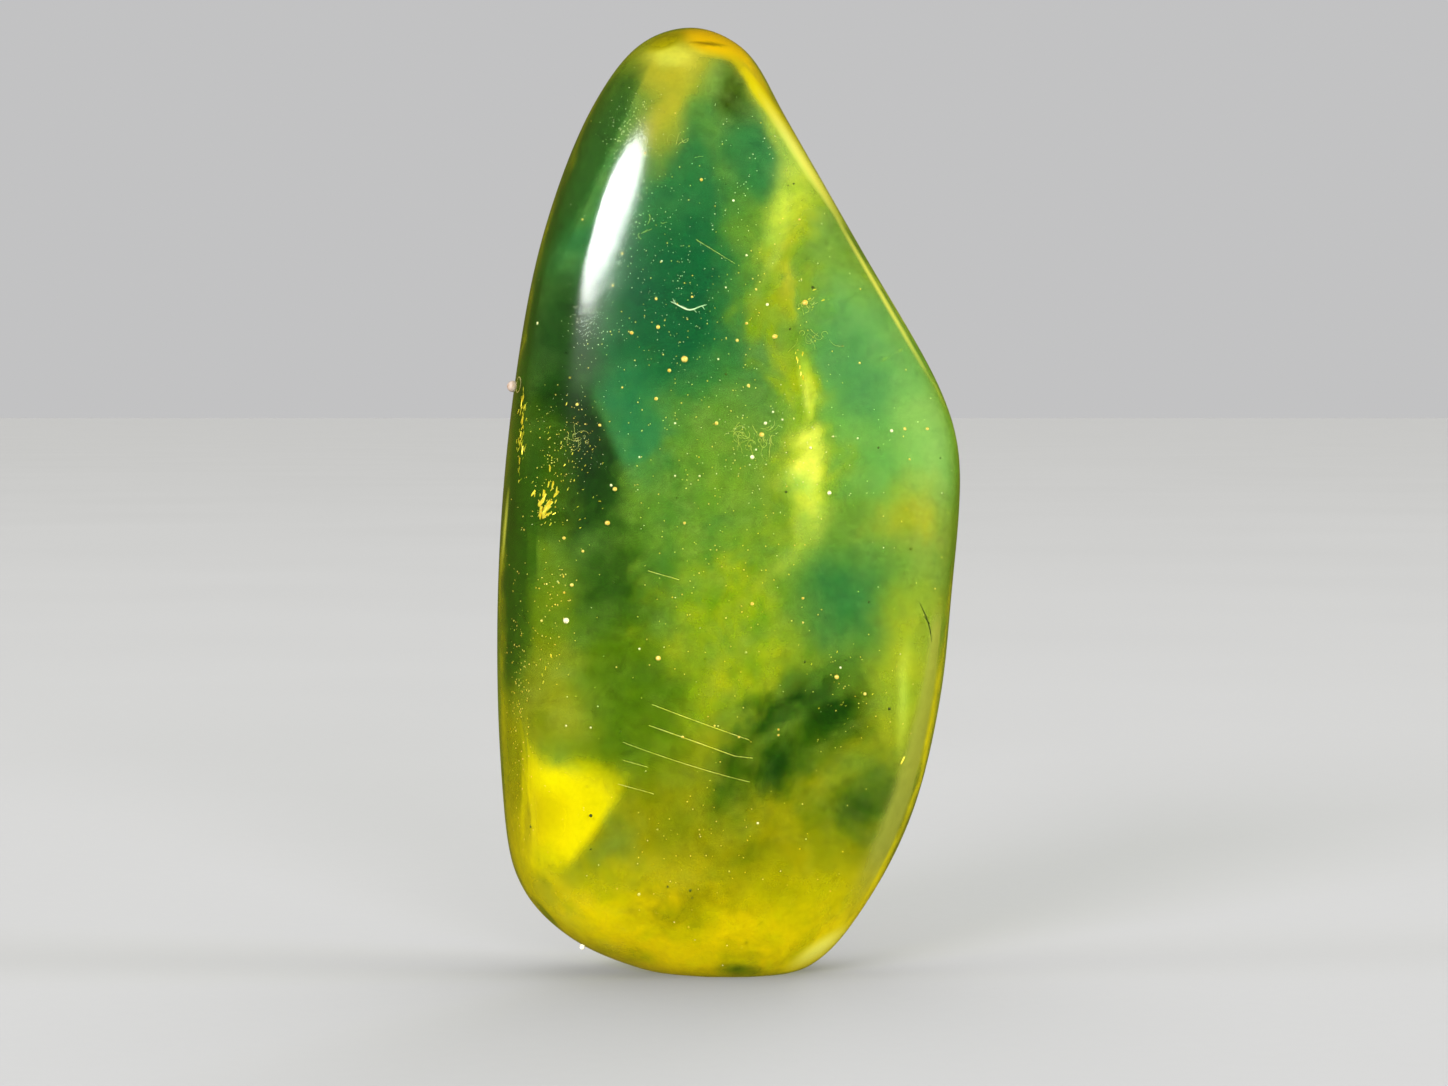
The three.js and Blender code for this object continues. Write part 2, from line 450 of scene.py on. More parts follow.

# painted glints and highlight lines, with the tip's own colours and dark spots, that lie over the painted rim
# glow as well
paintedGlintsAndMarks = [
    (tipOrange, (0.48, 0.25, 0.98), (2.1, 4, 0.95), 15, 0.35, 1.7, 0.1),
    (olive, (0.371, 0.25, 0.978), (1.1, 4, 0.5), -25, 0.4, 1.5, 0.1),
    (darkOrange, (0.455, 0.25, 0.974), (0.8, 4, 0.08), 5, 0.6, 1.2, 0.1),
    # a painted glow and painted highlight lines along the upper right crease and down the right edge
    (gold, (0.588, 0.25, 0.908), (0.26, 4, 2.6), -37, 0.6, 1.5, 0.1),
    (paintedGlintLine, (0.664, 0.25, 0.847), (0.28, 4, 3.3), -33, 0.7, 1.7, 0.1),
    (paintedGlintLine, (0.812, 0.25, 0.718), (0.12, 4, 5.2), -30, 0.9, 1.15, 0.1),
    # a painted highlight line along the left edge
    (paintedGlintLine, (0.036, 0.3, 0.47), (0.08, 3, 1.7), 6, 0.8, 1.2, 0.1),
    # a painted glint where light gathers at the foot
    (paintedLightYellow, (0.694, 0.25, 0.032), (0.62, 4, 1.8), 58, 0.6, 1.8, 0.1),
    (paintedGlintLine, (0.696, 0.25, 0.034), (0.4, 4, 1.4), 58, 0.8, 1.8, 0.1),
    (darkMoss, (0.526, 0.25, 0.014), (1.0, 4, 0.3), 5, 0.8, 0.8, 0.3),
    (darkMoss, (0.126, 0.28, 0.066), (0.14, 4, 1.0), -40, 0.7, 0.9, 0.1),
]

# the resin between the clouds
clear = {"kind": leafGreen, "thick": 0.56, "wisp": 0.3}
# the painted rim glow, the edge colours that light coming through the stone's sides gives it, by the way
# round from the tip as a clock's hand goes: its kind, how far in it reaches, and how thick it is
rim = [
    (-180, gold, 0.7, 0.8),
    (-135, dimGold, 0.55, 0.8),
    (-100, dimGold, 0.4, 0.8),
    (-80, olive, 0.35, 0.8),
    (-40, olive, 0.3, 0.85),
    (-12, olive, 0.35, 0.8),
    (2, tipOrange, 0.8, 0.95),
    (6, oldGold, 0.6, 0.9),
    (15, oldGold, 0.3, 0.9),
    (20, paleYellow, 0.2, 0.85),
    (45, paleYellow, 0.2, 0.85),
    (65, edgeGreen, 0.34, 0.95),
    (92, edgeGreen, 0.34, 0.95),
    (112, gold, 0.42, 0.9),
    (150, paintedLightYellow, 0.44, 0.9),
    (180, gold, 0.7, 0.8),
]

# how the painted rim glow is broken up: share is how much of it goes where the skin faces sideways, between
# two slopes; the holes are patches of noise, more of them at the back, and its inner edge is ragged and soft
rimBreaks = {
    "share": 0.95,
    "slopes": (0.34, 0.06),
    "holeScale": 170,
    "holes": (-0.8, 0.0),
    "backHoleScale": 230,
    "backHoles": (-0.5, 0.4),
    "ragged": 0.2,
    "raggedScale": 260,
    "soft": 0.4,
    "milk": 0.75,
    "wisp": 0.6,
}
# the grey band inside the rim at the lower right, where a crease turns the light: from and to are clock
# angles, its ends fade within some degrees, and its outer and its inner side fade between two slopes
edgeBand = {
    "kind": greyOlive,
    "from": 98,
    "to": 164,
    "fade": 12,
    "outer": (0.32, 0.4),
    "inner": (0.68, 0.52),
    "thick": 0.9,
    "wisp": 0.1,
}
# how the clouds are drawn out by a swirl in mm, torn, and patchy in colour, more so in red than in green;
# felt is how many half sizes away a cloud can still show, and veils how many in a row give it its colour
weather = {
    "swirl": 0.9,
    "swirlScale": 160,
    "smokeScale": 420,
    "torn": 0.8,
    "felt": 1.6,
    "patchScale": 520,
    "patchy": 0.45,
    "greenShare": 0.45,
    "faintest": 0.3,
    "through": 0.5,
    "veils": 2.2,
}


def passedLight(colour):
    # what one veil lets through, so that a few of them in a row give the cloud's colour
    return [min((channel / weather["through"]) ** (1 / weather["veils"]), 1) for channel in colour]


def looksOf(kind, thick, wisp):
    # what resin of a kind is like: the light it passes (0 to 2), what it glows with (3 to 5), and how milky
    # (6), thick (7) and wispy (8) it is
    return [*passedLight(kind["colour"]), *kind["colour"], kind["milk"], thick, wisp]


def blend(old, new, share):
    return [before + (after - before) * share for before, after in zip(old, new)]


def ripples(place, scale, roughness=0.8, layers=4):
    # noise in layers, each of them 2.1 times as fine as the one before
    return noise.fractal(place * scale, roughness, 2.1, layers)


def laidOver(looks, place, here, smoke, layer):
    # the looks at a place with a layer of clouds over them: here is the place after the swirl
    for kind, centre, half, lean, soft, thick, wisp, *cut in layer:
        away = (here - spot(*centre)) / mm
        if max(abs(away.x), abs(away.z)) > weather["felt"] * max(half[0], half[2]):
            continue
        away.rotate(Euler((0, -math.radians(lean), 0)))
        reach = Vector((away.x / half[0], away.y / half[1], away.z / half[2])).length
        share = smoothStep(1 + soft, 1 - soft, reach - weather["torn"] * wisp * smoke)
        if cut:
            (across, high), facing, softness = cut
            edge = (place - spot(across, 0.5, high)) / mm
            beyond = edge.x * math.cos(math.radians(facing)) + edge.z * math.sin(math.radians(facing))
            share *= 1 - smoothStep(-softness, softness, beyond)
        if share > 0:
            looks = blend(looks, looksOf(kind, thick, wisp), share)
    return looks


def cloudsAt(place):
    swirl = noise.turbulence_vector(place * weather["swirlScale"], 3, False)
    here = place + swirl * weather["swirl"] * mm
    smoke = ripples(here, weather["smokeScale"], roughness=0.7)
    looks = looksOf(clear["kind"], clear["thick"], clear["wisp"])
    looks = laidOver(looks, place, here, smoke, clouds)
    # patches where it turns yellower or greener
    patch = ripples(here, weather["patchScale"], layers=3) * weather["patchy"] * looks[8]
    for channel, share in ((0, 1), (1, weather["greenShare"]), (3, 1), (4, weather["greenShare"])):
        looks[channel] = min(looks[channel] * max(1 + patch * share, weather["faintest"]), 1)
    return looks


# the fine smoke, curds and threads of a veil: drift is how far they are blown in mm, calm and wild how much
# smoke there is in still and in wispy clouds, and behind how much of the light comes through the milk
veil = {
    "driftScale": 260,
    "drift": 2.2,
    "smokeScale": 900,
    "calm": 0.5,
    "wild": 1.6,
    "curdScale": 1900,
    "curdEdges": (0.5, 0.72),
    "curdled": 0.42,
    "threadScale": 420,
    "threadEdges": (0.55, 1.1),
    "upright": (1, 1, 0.35),
    "thread": (0.95, 0.98, 0.16),
    "threads": 0.75,
    "behind": 0.4,
}


def veilMaterial(name):
    # passes holds the light a veil lets through and how thick it is, glow what it shines with and how milky
    stuff, tree = newMaterial(name)
    place = objectPlace(tree)
    passes = addNode(tree, "Attribute", attribute_name="passes")
    glow = addNode(tree, "Attribute", attribute_name="glow")
    wisps = addNode(tree, "Attribute", attribute_name="wisps").outputs["Fac"]
    billow = noiseNode(tree, place, veil["driftScale"], 2).outputs["Color"]
    drift = vectorNode(tree, "SCALE", {0: billow, "Scale": veil["drift"] * mm})
    drifted = vectorNode(tree, "ADD", {0: place, 1: drift})
    # smoke makes the clouds thicker and thinner
    smoke = noiseNode(tree, drifted, veil["smokeScale"], 6, 0.62).outputs["Fac"]
    smoke = mathNode(tree, "SUBTRACT", smoke, 0.5)
    amount = mathNode(tree, "MULTIPLY_ADD", wisps, veil["wild"], veil["calm"])
    smoky = mathNode(tree, "MULTIPLY_ADD", smoke, amount, 1.0)
    thick = mathNode(tree, "MULTIPLY", passes.outputs["Alpha"], smoky, clamp=True)
    # curds are small darker flecks
    curd = noiseNode(tree, drifted, veil["curdScale"], 3).outputs["Fac"]
    curd = rangeNode(tree, curd, *veil["curdEdges"], 0.0, veil["curdled"])
    stained = mixColours(tree, curd, passes.outputs["Color"], (0, 0, 0, 1))
    body = addNode(tree, "BsdfTransparent", {"Color": stained}).outputs[0]
    # threads are fine bright lines that run upwards
    upright = vectorNode(tree, "MULTIPLY", {0: drifted, 1: veil["upright"]})
    ridge = noiseNode(tree, upright, veil["threadScale"], 5, 0.6, noise_type="RIDGED_MULTIFRACTAL")
    ridge = rangeNode(tree, ridge.outputs["Fac"], *veil["threadEdges"], ease="SMOOTHSTEP")
    ridge = mathNode(tree, "MULTIPLY", ridge, wisps)
    ridge = mathNode(tree, "MULTIPLY", ridge, veil["threads"], clamp=True)
    shine = mixColours(tree, ridge, glow.outputs["Color"], (*veil["thread"], 1))
    front = addNode(tree, "BsdfDiffuse", {"Color": shine}).outputs[0]
    behind = addNode(tree, "BsdfTranslucent", {"Color": shine}).outputs[0]
    lit = mixShaders(tree, veil["behind"], front, behind)
    milk = mathNode(tree, "MAXIMUM", glow.outputs["Alpha"], ridge)
    body = mixShaders(tree, milk, body, lit)
    gap = addNode(tree, "BsdfTransparent").outputs[0]
    surface = mixShaders(tree, thick, gap, body)
    addNode(tree, "OutputMaterial", {"Surface": surface})
    return stuff


skinTree = BVHTree.FromObject(stone, bpy.context.evaluated_depsgraph_get())


def clockAngle(place):
    return math.degrees(math.atan2(place.x - heart.x, place.z - heart.z))


def bandAt(place, slope):
    # the grey band's look, and how much of it there is at a place
    turn = clockAngle(place)
    along = smoothStep(edgeBand["from"], edgeBand["from"] + edgeBand["fade"], turn)
    along *= smoothStep(edgeBand["to"], edgeBand["to"] - edgeBand["fade"], turn)
    across = smoothStep(*edgeBand["outer"], slope) * smoothStep(*edgeBand["inner"], slope)
    front = smoothStep(1, -1, (place.y - heart.y) / mm)
    return looksOf(edgeBand["kind"], edgeBand["thick"], edgeBand["wisp"]), along * across * front


def rimAt(place):
    # the painted rim glow's look at a place, and how far in it reaches there
    turn = clockAngle(place)
    for before, after in zip(rim, rim[1:]):
        if turn <= after[0]:
            break
    share = (turn - before[0]) / (after[0] - before[0])
    colour = blend(before[1]["colour"], after[1]["colour"], share)
    reach, thick = blend(before[2:], after[2:], share)
    return looksOf({"colour": colour, "milk": rimBreaks["milk"]}, thick, rimBreaks["wisp"]), reach


def rimShareAt(place, slope, reach):
    # how much of the painted rim glow there is at a place
    ragged = rimBreaks["ragged"] * ripples(place, rimBreaks["raggedScale"]) * smoothStep(0, 0.3, slope)
    side = 1 - smoothStep(reach * rimBreaks["soft"], reach, slope + ragged)
    gone = smoothStep(*rimBreaks["slopes"], slope)
    gone *= smoothStep(*rimBreaks["holes"], ripples(place, rimBreaks["holeScale"]))
    if place.y > heart.y:
        backHoles = ripples(place, rimBreaks["backHoleScale"])
        gone = max(gone, smoothStep(*rimBreaks["backHoles"], backHoles))
    return side * (1 - rimBreaks["share"] * gone)


def paintVeil(piece, share, edged, fade):
    # the clouds where this veil cuts through them, kept in attributes: fade thins them, and an edged veil has
    # the painted rim glow, the grey band and the painted glints and marks as well
    passed, glows, wisps = [], [], []
    for vertex, shown in zip(piece.data.vertices, fade):
        looks = cloudsAt(vertex.co)
        looks[7] *= share
        if edged:
            slope = abs(vertex.normal.y)
            edge, reach = rimAt(vertex.co)
            looks = blend(looks, edge, rimShareAt(vertex.co, slope, reach))
            looks = blend(looks, *bandAt(vertex.co, slope))
            looks = laidOver(looks, vertex.co, vertex.co, 0, paintedGlintsAndMarks)
        *looks, milk, thick, wisp = looks
        passed.append((*looks[:3], thick * shown))
        glows.append((*looks[3:], milk))
        wisps.append(wisp)
    for name, colours in (("passes", passed), ("glow", glows)):
        paint = piece.data.color_attributes.new(name, "FLOAT_COLOR", "POINT")
        paint.data.foreach_set("color", [channel for colour in colours for channel in colour])
    piece.data.attributes.new("wisps", "FLOAT", "POINT").data.foreach_set("value", wisps)


def finishVeil(piece):
    piece.data.materials.append(veilMaterial(piece.name))
    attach(piece, "root")


# closed veils that follow the skin: their size as shares of the stone's width, depth and height, how thick
# their clouds are, and whether they have the painted rim glow
shells = {
    "outer_veil": {"size": (0.965, 0.9, 0.983), "share": 0.55, "edged": True},
    "inner_veil": {"size": (0.89, 0.68, 0.95), "share": 1.0, "edged": False},
}


def addShell(name, look):
    shell = copyOfStone(name, 2)
    startEditing()
    bpy.ops.transform.resize(value=look["size"], center_override=heart)
    stopEditing()
    paintVeil(shell, look["share"], look["edged"], [1] * len(shell.data.vertices))
    finishVeil(shell)
    return shell


for name, look in shells.items():
    shell = addShell(name, look)
    gap = min(skinTree.find_nearest(vertex.co)[3] for vertex in shell.data.vertices)
    print("veil", name, len(shell.data.vertices), "gap mm", gap / mm)

# room is how near the skin the sheet ends, it fades between two distances from the skin, and thick is its
# wall, all in mm; the waves keep it from being flat
heartVeil = {
    "share": 1.0,
    "rows": 180,
    "columns": 100,
    "room": 1.5,
    "fade": (1.6, 4.1),
    "thick": 0.05,
    "waves": (310, 230),
    "wave": 0.6,
}


def roomAt(place):
    # how far a place in the stone is from the nearest skin, in mm
    return skinTree.find_nearest(place)[3] / mm


def halfway(place, look):
    # moves a place to halfway between the front and back skins, and tells whether it is outside the sheet
    front = skinTree.ray_cast(Vector((place.x, -1, place.z)), Vector((0, 1, 0)))[0]
    back = skinTree.ray_cast(Vector((place.x, 1, place.z)), Vector((0, -1, 0)))[0]
    if front is None or back is None:
        return True
    across, high = look["waves"]
    wave = math.sin(place.x * across + 2) * math.cos(place.z * high) * look["wave"] * mm
    place.y = (front.y + back.y) / 2 + wave
    return roomAt(place) < look["room"]


def addHeartVeil(name, look):
    # a thin closed sheet that stands in the middle of the stone, with its clouds on the front
    deselectAll()
    bpy.ops.mesh.primitive_grid_add(
        x_subdivisions=look["columns"],
        y_subdivisions=look["rows"],
        size=1,
        rotation=(math.radians(90), 0, 0),
        location=spot(0.5, 0.5, 0.5),
    )
    sheet = bpy.context.object
    sheet.name = name
    sheet.scale = (stoneSize.x, stoneSize.z, 1)
    applyPlace()
    outside = [halfway(vertex.co, look) for vertex in sheet.data.vertices]
    startEditing("DESELECT")
    stopEditing()
    for vertex, isOutside in zip(sheet.data.vertices, outside):
        vertex.select = isOutside
    bpy.ops.object.mode_set(mode="EDIT")
    bpy.ops.mesh.delete(type="VERT")
    stopEditing()
    fade = [smoothStep(*look["fade"], roomAt(vertex.co)) for vertex in sheet.data.vertices]
    wall = sheet.modifiers.new("wall", "SOLIDIFY")
    wall.thickness = look["thick"] * mm
    bpy.ops.object.modifier_apply(modifier="wall")
    bpy.ops.object.shade_smooth()
    clearBack = [0] * (len(sheet.data.vertices) - len(fade))
    paintVeil(sheet, look["share"], False, fade + clearBack)
    finishVeil(sheet)


addHeartVeil("heart_veil", heartVeil)
print("veils done")

# what is sealed in the stone: its light and its dark colour, how metallic and how rough it is, and how fine
# its mottling is
crumbLooks = {
    "gold": ((1.0, 0.82, 0.28), (0.9, 0.48, 0.05), 0.15, 0.35, 9000),
    "pale": ((1.0, 0.97, 0.82), (0.85, 0.74, 0.45), 0.0, 0.35, 9000),
    "foil": ((1.0, 0.86, 0.1), (0.8, 0.52, 0.02), 0.3, 0.3, 6000),
    "soot": ((0.05, 0.075, 0.012), (0.01, 0.018, 0.004), 0.0, 0.6, 6000),
    "thread": ((0.95, 0.92, 0.35), (0.8, 0.7, 0.1), 0.0, 0.4, 4000),
    "hair": ((0.7, 0.68, 0.22), (0.5, 0.45, 0.08), 0.0, 0.4, 4000),
    "fibre": ((0.8, 0.92, 0.72), (0.5, 0.66, 0.45), 0.0, 0.5, 5000),
    "bead": ((0.58, 0.5, 0.44), (0.3, 0.19, 0.13), 0.0, 0.3, 1500),
}
mottleEdges = (0.35, 0.65)


def crumbMaterial(name, kind):
    # a solid colour, mottled with a darker one
    light, dark, metal, rough, mottleScale = crumbLooks[kind]
    stuff, tree = newMaterial(name)
    mottle = noiseNode(tree, objectPlace(tree), mottleScale, 3).outputs["Fac"]
    mottle = rangeNode(tree, mottle, *mottleEdges)
    shade = mixColours(tree, mottle, (*dark, 1), (*light, 1))
    wires = {"Base Color": shade, "Metallic": metal, "Roughness": rough}
    shader = addNode(tree, "BsdfPrincipled", wires).outputs[0]
    addNode(tree, "OutputMaterial", {"Surface": shader})
    return stuff


def finishCrumbs(piece, name, stuff):
    piece.name = name
    piece.data.materials.clear()
    piece.data.materials.append(stuff)
    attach(piece, "root")


def scatter(name, mother, placings, stuff):
    # a copy of the mother shape with its own mesh for each placing, all joined in one piece
    deselectAll()
    for place, size, turn in placings:
        crumb = mother.copy()
        crumb.data = mother.data.copy()
        bpy.context.collection.objects.link(crumb)
        crumb.location = place
        crumb.scale = size
        crumb.rotation_euler = turn
        crumb.select_set(True)
    bpy.context.view_layer.objects.active = crumb
    bpy.ops.object.join()
    applyPlace()
    bpy.data.objects.remove(mother, do_unlink=True)
    finishCrumbs(crumb, name, stuff)


def roundCrumb(fineness):
    deselectAll()
    bpy.ops.mesh.primitive_ico_sphere_add(subdivisions=fineness, radius=1)
    if fineness > 1:
        bpy.ops.object.shade_smooth()
    return bpy.context.object


def seenAt(right, up, depth):
    # a place so deep under the front skin that the camera sees so far right of the stone's middle and so far
    # above the floor, all in mm: the line of sight bends where it enters the resin
    eye = Vector((camera["side"], -camera["away"], camera["height"]))
    sight = (Vector((right, 0, up)) * mm - eye).normalized()
    place, facing = skinTree.ray_cast(eye, sight)[:2]
    slant = -facing.dot(sight) / skin["ior"]
    straight = math.sqrt(1 - 1 / skin["ior"] ** 2 + slant * slant)
    bent = sight / skin["ior"] + facing * (slant - straight)
    return place + bent.normalized() * depth * mm


def anyTurn(dice):
    return Euler([dice.uniform(0, wholeTurn) for axis in range(3)])


def underSkin(across, high, depth, behind):
    # a place some mm under the front or the back skin, or nothing where the stone isn't that wide or high
    start = spot(across, 2 if behind else -1, high)
    place, facing = skinTree.ray_cast(start, Vector((0, -1 if behind else 1, 0)))[:2]
    return place and place - facing * depth * mm


# the beads that stand out: how far right and how far up each is seen, how deep it lies, and its size, in mm
goldBeads = [
    (-2.3, 32.6, 0.35, 0.17), (-3.1, 32.0, 0.5, 0.1), (-3.7, 34.3, 0.4, 0.11), (-5.1, 34.0, 0.5, 0.1),
    (-3.8, 35.8, 0.45, 0.08), (-1.9, 35.9, 0.5, 0.06), (1.0, 34.5, 0.4, 0.07), (0.5, 33.6, 0.5, 0.09),
    (2.5, 33.8, 0.35, 0.14), (1.1, 31.2, 0.4, 0.09), (-3.8, 30.5, 0.4, 0.09), (-5.6, 31.1, 0.6, 0.06),
    (-8.0, 30.2, 0.5, 0.08), (-0.6, 29.2, 0.4, 0.1), (1.5, 36.3, 0.5, 0.06), (-6.0, 25.7, 0.4, 0.12),
    (-6.4, 23.9, 0.4, 0.13), (-8.7, 23.1, 0.5, 0.09), (-7.7, 22.4, 0.6, 0.07), (-1.4, 42.1, 0.4, 0.08),
    (-4.4, 43.5, 0.4, 0.06), (-7.7, 40.0, 0.5, 0.05), (-6.1, 36.5, 0.5, 0.06), (-5.6, 38.2, 0.5, 0.06),
    (1.8, 28.6, 0.4, 0.12), (-6.8, 29.1, 0.5, 0.08), (-2.3, 23.9, 0.5, 0.07), (4.1, 35.6, 0.35, 0.15),
    (7.0, 32.4, 0.4, 0.06), (9.4, 28.9, 0.4, 0.08), (10.6, 28.9, 0.4, 0.08), (-3.7, 16.7, 0.3, 0.13),
    (1.3, 19.6, 0.35, 0.09), (4.0, 19.9, 0.4, 0.07), (4.0, 18.6, 0.4, 0.06), (5.8, 15.7, 0.3, 0.13),
    (2.7, 12.9, 0.4, 0.06), (-8.3, 20.6, 0.4, 0.1), (-8.7, 20.2, 0.5, 0.06), (-9.9, 18.7, 0.35, 0.07),
    (-7.7, 22.4, 0.4, 0.07), (3.8, 40.0, 0.5, 0.06), (7.3, 14.8, 0.4, 0.09), (2.7, 12.6, 0.5, 0.05),
    (0.6, 12.5, 0.3, 0.06), (-2.4, 12.5, 0.3, 0.07), (-0.7, 13.1, 0.3, 0.05),
]
paleBeads = [
    (1.3, 27.4, 0.35, 0.11), (8.7, 28.8, 0.35, 0.09), (5.4, 25.5, 0.35, 0.11), (-8.6, 18.7, 0.3, 0.15),
    (2.1, 35.5, 0.4, 0.08), (0.3, 41.0, 0.4, 0.06), (-2.8, 29.2, 0.5, 0.05), (-6.2, 25.9, 0.4, 0.07),
    (4.4, 27.9, 0.4, 0.07), (5.6, 28.5, 0.4, 0.05), (6.9, 28.4, 0.4, 0.05), (-1.5, 26.4, 0.5, 0.05),
    (-2.8, 26.4, 0.5, 0.05), (-4.7, 27.4, 0.6, 0.05), (1.6, 7.9, 0.3, 0.06), (-10.1, 34.5, 0.3, 0.09),
    (6.0, 16.2, 0.3, 0.06), (-7.3, 13.0, 0.4, 0.05), (-8.6, 13.1, 0.4, 0.05), (-4.7, 17.2, 0.4, 0.05),
    (1.0, 38.1, 0.5, 0.06), (-0.1, 36.4, 0.5, 0.05), (-3.5, 37.8, 0.5, 0.04), (-0.5, 32.6, 0.5, 0.05),
    (2.0, 29.2, 0.4, 0.09), (2.4, 29.8, 0.4, 0.06), (1.5, 27.8, 0.4, 0.05), (2.9, 29.4, 0.4, 0.05),
]
darkSpecks = [
    (-7.3, 8.3, 0.35, 0.09), (-10.5, 7.7, 0.3, 0.08), (-2.0, 4.3, 0.35, 0.07), (-3.2, 4.5, 0.4, 0.06),
    (-1.9, 3.9, 0.35, 0.05), (4.1, 16.5, 0.4, 0.06), (6.3, 16.6, 0.4, 0.05), (7.5, 19.7, 0.4, 0.05),
    (-5.7, 12.8, 0.5, 0.04), (4.5, 36.4, 0.4, 0.08), (3.3, 34.2, 0.4, 0.06), (6.1, 33.3, 0.4, 0.04),
    (8.0, 27.9, 0.4, 0.05), (-7.3, 6.5, 0.4, 0.05), (8.6, 14.0, 0.4, 0.08), (-0.1, 31.8, 0.5, 0.05),
    (3.5, 41.9, 0.5, 0.05), (3.2, 41.8, 0.5, 0.04),
]
# more of each, anywhere in the stone, with their sizes and how deep under the skin they lie, in mm, and how
# many of them are at the back
strays = {
    "gold": 46,
    "pale": 30,
    "dark": 40,
    "size": (0.03, 0.08),
    "depth": (0.5, 2.6),
    "behind": 0.75,
    "uneven": (0.9, 1.1),
    "seed": 5,
}


def addBeads(name, beads, count, stuff, seed):
    dice = random.Random(seed)
    placings = []
    for right, up, depth, size in beads:
        sizes = [size * mm * dice.uniform(*strays["uneven"]) for axis in range(3)]
        placings.append((seenAt(right, up, depth), sizes, anyTurn(dice)))
    while len(placings) < len(beads) + count:
        across, high, depth = dice.random(), dice.random(), dice.uniform(*strays["depth"])
        place = underSkin(across, high, depth, dice.random() < strays["behind"])
        if place:
            size = dice.uniform(*strays["size"]) * mm
            placings.append((place, [size] * 3, anyTurn(dice)))
    scatter(name, roundCrumb(2), placings, stuff)


goldBubble = crumbMaterial("goldBubble", "gold")
paleBubble = crumbMaterial("paleBubble", "pale")
darkSpeck = crumbMaterial("darkSpeck", "soot")
addBeads("gold_bubbles", goldBeads, strays["gold"], goldBubble, strays["seed"])
addBeads("pale_bubbles", paleBeads, strays["pale"], paleBubble, strays["seed"] + 1)
addBeads("dark_specks", darkSpecks, strays["dark"], darkSpeck, strays["seed"] + 2)
print("beads done")

# the dust: where it gathers, across and high, how far it spreads, how many grains, their sizes in mm, and
# whether two in three of them are at the back
goldDust = [
    (0.11, 0.535, 0.04, 0.055, 90, (0.0128, 0.04), False),
    (0.175, 0.57, 0.045, 0.035, 60, (0.0112, 0.032), False),
    (0.05, 0.33, 0.022, 0.09, 170, (0.02, 0.052), False),
    (0.13, 0.39, 0.04, 0.05, 80, (0.016, 0.044), False),
    (0.06, 0.18, 0.03, 0.06, 40, (0.016, 0.04), False),
    (0.42, 0.66, 0.16, 0.12, 170, (0.0144, 0.036), False),
    (0.48, 0.45, 0.16, 0.1, 130, (0.0144, 0.036), False),
    (0.4, 0.16, 0.2, 0.06, 70, (0.012, 0.032), False),
    (0.76, 0.3, 0.08, 0.06, 50, (0.012, 0.032), False),
    (0.5, 0.5, 0.6, 0.6, 560, (0.012, 0.04), True),
]
paleDust = [
    (0.29, 0.88, 0.045, 0.035, 170, (0.0096, 0.024), False),
    (0.2, 0.69, 0.035, 0.035, 120, (0.0096, 0.0224), False),
    (0.3, 0.78, 0.06, 0.08, 90, (0.0096, 0.024), False),
    (0.4, 0.74, 0.11, 0.11, 220, (0.008, 0.0224), False),
    (0.19, 0.58, 0.06, 0.045, 80, (0.008, 0.0192), False),
    (0.56, 0.56, 0.09, 0.06, 70, (0.0112, 0.0288), False),
    (0.7, 0.56, 0.12, 0.06, 60, (0.0112, 0.0288), False),
    (0.5, 0.5, 0.6, 0.6, 520, (0.0112, 0.0304), True),
    (0.54, 0.85, 0.1, 0.06, 60, (0.0112, 0.0288), False),
]
dust = {"depth": (0.12, 0.75), "uneven": (0.85, 1.15), "gathered": 1.5, "seed": 31}


def addDust(name, heaps, stuff, seed):
    dice = random.Random(seed)
    placings = []
    for across, high, wide, tall, count, sizes, allRound in heaps:
        for grain in range(count):
            there = dice.gauss(across, wide / dust["gathered"])
            up = dice.gauss(high, tall / dust["gathered"])
            place = underSkin(there, up, dice.uniform(*dust["depth"]), allRound and grain % 3 > 0)
            if place:
                size = dice.uniform(*sizes) * mm
                grainSize = [size * dice.uniform(*dust["uneven"]) for axis in range(3)]
                placings.append((place, grainSize, anyTurn(dice)))
    scatter(name, roundCrumb(1), placings, stuff)


addDust("gold_dust", goldDust, crumbMaterial("goldGrain", "gold"), dust["seed"])
addDust("pale_dust", paleDust, crumbMaterial("paleGrain", "pale"), dust["seed"] + 1)
print("dust done")

# bits of shining foil: where each heap is, how far it spreads, how many, their lengths in mm and their lean
# in degrees
spangles = [
    ((0.116, 0.505), (0.013, 0.014), 26, (0.14, 0.5), 28),
    ((0.108, 0.498), (0.006, 0.006), 6, (0.5, 0.9), 28),
    ((0.15, 0.55), (0.03, 0.025), 26, (0.06, 0.2), 20),
    ((0.21, 0.56), (0.025, 0.03), 12, (0.06, 0.16), 30),
    ((0.17, 0.49), (0.03, 0.01), 10, (0.06, 0.16), 70),
    ((0.061, 0.605), (0.003, 0.01), 22, (0.12, 0.5), 14),
    ((0.057, 0.578), (0.003, 0.012), 26, (0.15, 0.55), 14),
    ((0.052, 0.548), (0.003, 0.012), 14, (0.12, 0.4), 14),
    ((0.11, 0.33), (0.004, 0.012), 4, (0.15, 0.3), 5),
    ((0.667, 0.7), (0.018, 0.012), 8, (0.08, 0.22), 60),
    ((0.65, 0.635), (0.01, 0.02), 8, (0.08, 0.3), 10),
    ((0.876, 0.23), (0.001, 0.001), 1, (0.5, 0.55), 32),
    ((0.725, 0.29), (0.045, 0.03), 14, (0.05, 0.14), 40),
]
foil = {
    "depth": (0.2, 0.6),
    "edges": 9,
    "thick": 0.16,
    "wide": 0.26,
    "tornWide": (0.5, 1.3),
    "tornLong": (0.7, 1.1),
    "stretch": (0.6, 1.2),
    "leanSpread": 14,
    "pitch": 0.4,
    "twist": 0.6,
}


